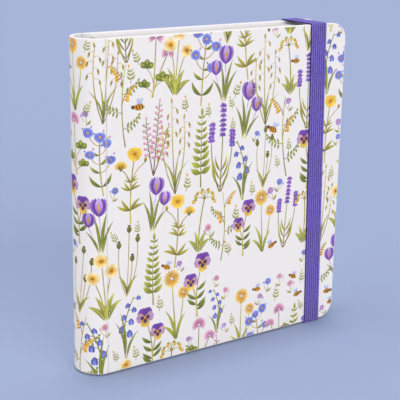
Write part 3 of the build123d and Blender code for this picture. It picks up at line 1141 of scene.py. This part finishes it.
def cover_material():
    """Matt laminated paper with a watercolour print."""
    shader = new_shader("cover_print")
    ink = shader.attribute("print")
    pool = shader.spread(shader.noise(260.0, 2.0), 0.8, 1.22)
    grain = shader.spread(shader.noise(1500.0), 0.88, 1.12)
    washed = shader.shaded(ink["Color"], shader.math("MULTIPLY", pool, grain))
    shader.set(
        Base_Color=shader.mix(ink["Alpha"], ink["Color"], washed),
        Roughness=shader.spread(shader.noise(700.0), 0.46, 0.56),
    )
    shader.bump(shader.noise(5200.0, 2.0), 0.12, 0.06 * MM)
    return shader.owner


def paper_shader(name, colour, warm, fibre_scale):
    """Uncoated paper with fibres and a faint mottle; returns its colour too."""
    shader = new_shader(name)
    fibre = shader.noise(fibre_scale, 5.0, shader.stretched((1.0, 1.0, 0.3)))
    mottled = shader.mix(shader.spread(shader.noise(120.0, 4.0)), colour, warm)
    base = shader.shaded(mottled, shader.spread(fibre, 0.95, 1.03))
    shader.set(Base_Color=base, Roughness=shader.spread(fibre, 0.78, 0.9))
    shader.bump(fibre, 0.18, 0.05 * MM)
    return shader, base


def endpaper_material():
    """Plain white endpaper."""
    return paper_shader("endpaper", chart(244, 244, 245), chart(239, 239, 238), 1300.0)[0].owner


def ruled_material():
    """Page with faint ruled lines for entries."""
    shader, base = paper_shader("page_face", chart(243, 242, 240), chart(238, 236, 231), 1600.0)
    axes = shader.axes()
    row = shader.math("FRACT", shader.math("DIVIDE", axes["Z"], RULE_PITCH * MM))
    ruled = shader.math("LESS_THAN", row, RULE_SHARE)
    for value, (low, high) in ((axes["X"], RULED_ACROSS), (axes["Z"], RULED_UP)):
        ruled = shader.math("MULTIPLY", ruled, shader.math("GREATER_THAN", value, low * MM))
        ruled = shader.math("MULTIPLY", ruled, shader.math("LESS_THAN", value, high * MM))
    strength = shader.math("MULTIPLY", ruled, RULE_STRENGTH)
    shader.set(Base_Color=shader.mix(strength, base, chart(168, 160, 206)))
    return shader.owner


def edge_material():
    """Cut edges of the leaves, streaked in greys, with darker grey streaks painted as shade in the partings
    between leaves and a dark line painted as the shadow in the gap after every fourth section.
    """
    shader = new_shader("page_edge")
    pitch = SECTION_PITCH * MM
    from_line = shader.math("ADD", shader.axes()["Y"], -FIRST_BUNCH_END * pitch)
    bunch_shadow_wave = shader.math("ABSOLUTE", shader.wave(from_line, 2 * SECTIONS_IN_BUNCH * pitch))
    depth = shader.stretched((0.004, 1.0, 0.004))
    streak = shader.noise(2600.0, 3.0, depth)
    # Painted shade: grey streaks where the leaves part stand in for the shade in the gaps between them.
    parting_shade = shader.spread(shader.noise(330.0, 2.0, depth), 0.0, 1.0, 0.38, 0.5)
    fine = shader.mix(shader.spread(streak), chart(226, 226, 227), chart(246, 246, 245))
    leaves = shader.mix(parting_shade, chart(172, 172, 175), fine)
    # Painted shadow: a dark grey line after every fourth section stands in for the shadow in the gap between
    # groups of sections.
    base = shader.mix(shader.spread(bunch_shadow_wave, 0.0, 1.0, 0.04, 0.3), chart(116, 116, 122), leaves)
    fleck = shader.spread(shader.noise(900.0, 2.0), 0.96, 1.02)
    shader.set(Base_Color=shader.shaded(base, fleck), Roughness=0.88)
    shader.bump(streak, 0.25, 0.05 * MM)
    return shader.owner


def board_material():
    """Grey board with flecks of waste paper."""
    shader = new_shader("greyboard")
    fibre = shader.noise(900.0, 6.0)
    cells = shader.add("ShaderNodeTexVoronoi", {"Vector": shader.where(), "Scale": 1400.0})
    fleck = shader.math("MULTIPLY", shader.math("LESS_THAN", cells["Distance"], 0.16), 0.5)
    base = shader.mix(shader.spread(fibre), chart(150, 145, 136), chart(184, 178, 168))
    shader.set(Base_Color=shader.mix(fleck, base, chart(96, 92, 90)), Roughness=0.92)
    shader.bump(fibre, 0.4, 0.1 * MM)
    return shader.owner


def lining_material():
    """Open weave of the lining, with glue in it."""
    shader = new_shader("lining_weave")
    axes = shader.axes()
    warp, weft = (shader.wave(axes[axis], LINING_THREAD * MM) for axis in "YZ")
    thread = shader.math("MAXIMUM", warp, weft)
    base = shader.mix(shader.spread(thread, 0.0, 1.0, -0.4, 0.8), chart(176, 168, 150), chart(234, 230, 218))
    glue = shader.spread(shader.noise(400.0), 0.92, 1.04)
    shader.set(Base_Color=shader.shaded(base, glue), Roughness=0.85)
    shader.bump(thread, 0.5, 0.1 * MM)
    return shader.owner


def elastic_material():
    """Ribbed woven elastic: ridges painted bright as light on the ribs, valleys painted dark as shade between
    them, and fine threads across.
    """
    shader = new_shader("elastic_weave")
    rib = shader.attribute("rib")["Fac"]
    thread = shader.wave(shader.attribute("along")["Fac"], BAND_THREAD)
    fuzz = shader.noise(1500.0, 4.0)
    ridge = shader.mix(shader.spread(fuzz, 0.0, 1.0, 0.34, 0.68), chart(96, 82, 170), chart(144, 127, 220))
    # Painted light and shade: by the height of the rib, the valleys between the ribs take a dark colour and
    # the ridges a light one.
    base = shader.mix(shader.spread(rib, 0.0, 1.0, 0.15, 0.8), chart(46, 38, 108), ridge)
    shade = shader.spread(thread, 0.86, 1.08, -1.0, 1.0)
    shader.set(Base_Color=shader.shaded(base, shade), Roughness=0.8)
    shader.set(Specular_IOR_Level=0.1, Sheen_Weight=0.05, Sheen_Roughness=0.4)
    height = shader.math("ADD", shader.math("MULTIPLY", thread, 0.5), shader.math("MULTIPLY", fuzz, 0.8))
    shader.bump(height, 0.5, 0.1 * MM)
    return shader.owner


def letter_material():
    """Violet index letters, printed a little unevenly."""
    shader = new_shader("index_ink")
    wear = shader.spread(shader.noise(1800.0, 4.0))
    shader.set(Base_Color=shader.mix(wear, chart(82, 70, 140), chart(110, 98, 168)), Roughness=0.7)
    return shader.owner


COVER = cover_material()
ENDPAPER = endpaper_material()
PAGE_FACE = ruled_material()
PAGE_EDGE = edge_material()
BOARD = board_material()
LINING = lining_material()
ELASTIC = elastic_material()
LETTERS = letter_material()


# Pieces of the case


def dress_case():
    """Printed cover paper on front, spine and back."""
    shapes = draw_print()
    parts = (
        ("front_cover_print", panel_sheet(-1), partial(panel_place, -1), "front_cover_paper", "front_cover"),
        ("spine_print", spine_sheet(), spine_place, "spine_cover_paper", "spine"),
        ("back_cover_print", panel_sheet(+1), partial(panel_place, +1), "back_cover_paper", "back_cover"),
    )
    for name, sheet, place, node, body in parts:
        piece = printed_sheet(name, sheet, place, shapes)
        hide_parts(node)
        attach(piece, body)


def dress_creases():
    """Paper in the two creases, between spine and cover."""
    half = CREASE_GAP / 2
    heights = np.linspace(TAIL_Z + CREASE_END_GAP, HEAD_Z - CREASE_END_GAP, CREASE_ROWS)
    tall, across = np.meshgrid(heights, np.linspace(-half, half, CREASE_COLUMNS), indexing="ij")
    outer = HALF_BOOK - GROOVE_DEPTH - CREASE_SINK - CREASE_HOLLOW * (half**2 - across**2)
    inner = np.full_like(outer, HALF_BOOK - CREASE_DEPTH)
    for side, name, body in ((-1, "front_crease", "front_cover"), (1, "back_crease", "back_cover")):
        faces = [np.stack([CREASE_X + across, side * depth, tall], axis=2) for depth in (outer, inner)]
        piece = closed_grid(name, *faces, COVER)
        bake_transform(piece)
        colour_corners(piece.data)


def dress_plain_nodes():
    """Materials of the nodes whose solids show as they are."""
    looks = {
        "front_board": BOARD,
        "back_board": BOARD,
        "spine_card": BOARD,
        "front_pastedown": ENDPAPER,
        "back_pastedown": ENDPAPER,
        "front_flyleaf": ENDPAPER,
        "back_flyleaf": ENDPAPER,
    }
    for node, material in looks.items():
        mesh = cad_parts[node].data
        mesh.materials.clear()
        mesh.materials.append(material)


# Leaves


def rounded(corners, radii):
    """Outline through square corners, each rounded by its radius."""
    turn = np.linspace(0, np.pi / 2, PAGE_CORNER_STEPS + 1)
    outline = []
    for k, (corner, radius) in enumerate(zip(corners, radii)):
        inward = corner - corners[k - 1]
        inward *= radius / abs(inward)
        onward = corners[(k + 1) % len(corners)] - corner
        onward *= radius / abs(onward)
        bend = onward * (1 - np.cos(turn)) - inward * (1 - np.sin(turn))
        outline += list(corner + bend) if radius else [corner]
    return np.array(outline)


def leaf_outline(number, edge_trim, end_trim):
    """Leaf of a section, with the margin cut away below its own index tab and a little off its edges."""
    edge = PAGE_EDGE_X - edge_trim
    head = 1j * (PAGE_HEAD_Z - end_trim)
    tail = 1j * (PAGE_TAIL_Z + end_trim)
    margin = edge - TAB_DEPTH
    tab_low = 1j * (PAGE_HEAD_Z - number * TAB_HEIGHT)
    fold = FOLD_X - FOLD_MARGIN
    if number == len(SECTION_NAMES):
        return rounded([fold + tail, edge + tail, edge + head, fold + head], [0, PAGE_CORNER, PAGE_CORNER, 0])
    corners = [fold + tail, margin + tail, margin + tab_low, edge + tab_low, edge + head, fold + head]
    return rounded(corners, [0, PAGE_CORNER, TAB_NOTCH_ROUND, TAB_ROUND, PAGE_CORNER, 0])


def section_mesh(name, number, middle, thickness, rng):
    """Stack of leaves, pinched together at the fold."""
    points = []
    faces = []
    kinds = []
    pitch = thickness / LEAVES_IN_SECTION
    half = LEAF_SHARE * pitch / 2
    ends = np.array([PAGE_TAIL_Z - FOLD_OVERRUN, PAGE_HEAD_Z + FOLD_OVERRUN])
    tucks = [FOLD_X + across + 1j * ends for across in FOLD_LINES]
    for leaf in range(LEAVES_IN_SECTION):
        outline = leaf_outline(number, rng.uniform(0.0, EDGE_TRIM), rng.uniform(0.0, END_TRIM))
        flat, triangles, _ = triangulate([outline], tucks)
        pinch = np.interp(flat.real, [FOLD_X, FOLD_X + FOLD_TAPER], [FOLD_THICKNESS / thickness, 1.0])
        offset = (leaf + 0.5) * pitch - thickness / 2
        top = len(points)
        under = top + len(flat)
        for face in (offset - half, offset + half):
            points += np.column_stack([flat.real, middle + face * pinch, flat.imag]).tolist()
        rim = border(triangles)
        faces += [tuple(top + k for k in tri) for tri in triangles]
        faces += [tuple(under + k for k in reversed(tri)) for tri in triangles]
        faces += walls([top + k for k in rim], [under + k for k in rim])
        kinds += [0] * (2 * len(triangles)) + [1] * len(rim)
    made = new_object(name, points, faces, PAGE_FACE, PAGE_EDGE)
    made.data.polygons.foreach_set("material_index", np.array(kinds, np.int32))
    return made


def index_letters(name, text, place):
    """Pair of letters on the front of a tab."""
    curve = bpy.data.curves.new(name + "_type", "FONT")
    curve.body = text
    curve.size = LETTER_HEIGHT * MM
    curve.align_x = "CENTER"
    curve.align_y = "CENTER"
    curve.extrude = LETTER_DEPTH / 2 * MM
    curve.resolution_u = LETTER_CURVE_STEPS
    shape = place_object(name + "_type", curve)
    bpy.context.view_layer.update()
    mesh = bpy.data.meshes.new_from_object(shape.evaluated_get(bpy.context.evaluated_depsgraph_get()))
    bpy.data.objects.remove(shape)
    mesh.transform(Matrix.Translation(Vector(place) * MM) @ Matrix.Rotation(math.pi / 2, 4, "X"))
    mesh.materials.clear()
    mesh.materials.append(LETTERS)
    return place_object(name, mesh)


def dress_sections():
    """Leaves and letters of the thirteen index sections."""
    rng = random.Random(LEAF_SEED)
    letter_x = PAGE_EDGE_X - TAB_DEPTH / 2 - LETTER_SHIFT
    for number, letters in enumerate(SECTION_NAMES, start=1):
        node = "index_section_" + letters
        body = "spine" if letters == "mn" else "section_" + letters
        low, high = box_mm(node)
        thickness = high[1] - low[1]
        piece = section_mesh("leaves_" + letters, number, (low[1] + high[1]) / 2, thickness, rng)
        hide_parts(node)
        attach(piece, body)
        gap = (1 - LEAF_SHARE) * thickness / LEAVES_IN_SECTION / 2
        place = (letter_x, low[1] + gap, PAGE_HEAD_Z - (number - 0.5) * TAB_HEIGHT)
        text = index_letters("letters_" + letters, letters.upper(), place)
        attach(text, body)


def dress_lining():
    """Woven strip glued over the folds of the sections, with a ridge over each fold."""
    low, high = box_mm("block_lining")
    across = np.linspace(low[1], high[1], LINING_STEPS * len(SECTION_NAMES) + 1)
    heights = np.linspace(low[2], high[2], LINING_ROWS)
    tall, wide = np.meshgrid(heights, across, indexing="ij")
    dip = 0.5 * LINING_RELIEF * (1 - np.cos(2 * np.pi * wide / SECTION_PITCH))
    outer = np.stack([low[0] + dip, wide, tall], axis=2)
    inner = np.stack([np.full_like(wide, high[0]), wide, tall], axis=2)
    piece = closed_grid("lining", outer, inner, LINING)
    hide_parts("block_lining")
    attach(piece, "spine")


# Elastic


def band_middle_x(z):
    """Middle of the band at a height: its tail end lies nearer to the fore edge."""
    share = (z - BAND_LOW[2]) / (BAND_HIGH[2] - BAND_LOW[2])
    return BAND_HIGH[0] - BAND_WIDTH / 2 - BAND_LEAN * share


def strap_line(corners, radii, spacings, facing):
    """Inner line of the band through corners, each rounded by its radius, with the way that its ribs face.

    They face the left of the way along the line where facing is 1j, and the right where it is -1j.
    """
    legs = np.diff(corners)
    ways = legs / np.abs(legs)
    line = []
    for k, way in enumerate(ways):
        radius = radii[k + 1]
        start = corners[k] + radii[k] * way
        reach = corners[k + 1] - radius * way - start
        count = max(int(abs(reach) / spacings[k]), 1)
        line += [(start + reach * step / count, facing * way) for step in range(count + 1)]
        if radius:
            onward = ways[k + 1]
            for turn in np.linspace(0, np.pi / 2, BAND_BEND_STEPS + 1)[1:-1]:
                bend = onward * (1 - math.cos(turn)) - way * (1 - math.sin(turn))
                normal = facing * (way * math.cos(turn) + onward * math.sin(turn))
                line.append((corners[k + 1] + radius * bend, normal))
    return line


def free_band_line():
    """From the back over the head, down the front and under the tail to the back again."""
    side = BAND_INNER_Y
    corners = [
        complex(side, BAND_HEAD - BAND_STUB),
        complex(side, BAND_HEAD),
        complex(-side, BAND_HEAD),
        complex(-side, BAND_TAIL),
        complex(side, BAND_TAIL),
        complex(side, BAND_TAIL + BAND_STUB),
    ]
    spacings = (LONG_STEP, HEAD_STEP, LONG_STEP, HEAD_STEP, LONG_STEP)
    return strap_line(corners, (0, *[BAND_BEND] * 4, 0), spacings, -1j)


def fixed_end_line():
    """From the back of the head down to the slot, through the board and flat along its inside."""
    slot = HEAD_Z - SLOT_FROM_HEAD + BAND_THICKNESS / 2
    inner = HALF_BOOK - BOARD_INNER_DEPTH
    corners = [
        complex(BAND_INNER_Y, BAND_HEAD - BAND_STUB),
        complex(BAND_INNER_Y, slot),
        complex(inner, slot),
        complex(inner, slot - GLUED_END),
    ]
    return strap_line(corners, (0, BAND_BEND, GLUED_BEND, 0), (LONG_STEP, SLOT_STEP, LONG_STEP), 1j)


def ribbed_strap(name, line):
    """Closed strap along a line, with lengthwise ribs on the side that it faces, and its length."""
    share = np.linspace(0, 1, BAND_RIBS * RIB_SAMPLES + 1)
    ridge = np.abs(np.sin(BAND_RIBS * np.pi * share)) ** RIB_BLUNTNESS
    across = BAND_WIDTH * (share - 0.5)
    under = across[::-RIB_SAMPLES]
    ring_across = np.append(across, under)
    ring_lift = np.append(BAND_THICKNESS - RIB_RELIEF * (1 - ridge), np.full(len(under), BAND_UNDERSIDE))
    ring_ridge = np.append(ridge, np.zeros(len(under)))
    points = []
    for place, normal in line:
        ring = place + normal * ring_lift
        points.append(np.column_stack([band_middle_x(place.imag) + ring_across, ring.real, ring.imag]))
    lengths = np.append(0.0, np.cumsum(np.abs(np.diff([place for place, _ in line]))))
    size = len(ring_across)
    number = np.arange(len(line) * size).reshape(len(line), size)
    after = np.roll(number, -1, axis=1)
    quads = np.stack([number[:-1], after[:-1], after[1:], number[1:]], axis=2)
    faces = quads.reshape(-1, 4).tolist() + [number[0].tolist(), number[-1, ::-1].tolist()]
    made = new_object(name, np.vstack(points), faces, ELASTIC)
    made.data.shade_smooth()
    for label, values in (("rib", np.tile(ring_ridge, len(line))), ("along", np.repeat(lengths, size))):
        layer = made.data.attributes.new(label, "FLOAT", "POINT")
        layer.data.foreach_set("value", values.astype(np.float32))
    mend_normals(made)
    return made, lengths[-1]


def dress_band():
    """Free band and its two fixed ends."""
    band, length = ribbed_strap("elastic", free_band_line())
    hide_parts("elastic_band")
    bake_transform(band)
    head_line = fixed_end_line()
    both_ends = 1j * (BAND_LOW[2] + BAND_HIGH[2])
    tail_line = [(np.conj(place) + both_ends, np.conj(normal)) for place, normal in head_line]
    for name, line, node in (
        ("elastic_end_head", head_line, "band_end_head"),
        ("elastic_end_tail", tail_line, "band_end_tail"),
    ):
        piece, length = ribbed_strap(name, line)
        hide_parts(node)
        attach(piece, "back_cover")


# Studio


def make_floor():
    """Plain pale floor under the book, whose blue shows to the camera but isn't thrown on to the book."""
    shader = new_shader("floor")
    colour = shader.mix(shader.seen(), chart(188, 188, 190), chart(157, 170, 204))
    shader.set(Base_Color=colour, Roughness=0.9, Specular_IOR_Level=0.0)
    half = FLOOR_HALF
    corners = [(-half, -half, 0), (half, -half, 0), (half, half, 0), (-half, half, 0)]
    new_object("floor", corners, [(0, 1, 2, 3)], shader.owner)


def make_world():
    """Soft white light from all round, where the camera sees the floor's blue go on."""
    shader = Shader(bpy.data.worlds.new("studio"), "Background")
    light = (WORLD_LIGHT, WORLD_LIGHT, WORLD_LIGHT, 1.0)
    shader.set(Color=shader.mix(shader.seen(), light, chart(167, 180, 216)))
    bpy.context.scene.world = shader.owner


def make_lamps():
    """Soft white lamps far away: a wide one in front, two behind and a narrow one overhead."""
    for name, (strength, width, direction) in LAMPS.items():
        lamp = bpy.data.lights.new(name, "SUN")
        lamp.energy = strength
        lamp.angle = math.radians(width)
        made = place_object(name, lamp)
        made.rotation_euler = Vector(direction).to_track_quat("-Z", "Y").to_euler()


def make_camera():
    """Camera at the photograph's place, with its slight roll."""
    forward = (CAMERA_TARGET - CAMERA_EYE).normalized()
    level = forward.cross(Vector((0, 0, 1))).normalized()
    plumb = level.cross(forward)
    right = level * math.cos(CAMERA_ROLL) + plumb * math.sin(CAMERA_ROLL)
    up = plumb * math.cos(CAMERA_ROLL) - level * math.sin(CAMERA_ROLL)
    lens = bpy.data.cameras.new("camera")
    lens.lens = CAMERA_LENS
    lens.sensor_width = SENSOR_WIDTH
    lens.clip_start = CLIP_START * MM
    lens.clip_end = CLIP_END * MM
    made = place_object("camera", lens)
    turn = Matrix((right, up, -forward)).transposed().to_4x4()
    made.matrix_world = Matrix.Translation(CAMERA_EYE * MM) @ turn
    bpy.context.scene.camera = made


dress_case()
dress_creases()
dress_plain_nodes()
dress_sections()
dress_lining()
dress_band()
make_floor()
make_world()
make_lamps()
make_camera()
bpy.context.scene.view_settings.view_transform = "Standard"

bpy.context.view_layer.update()
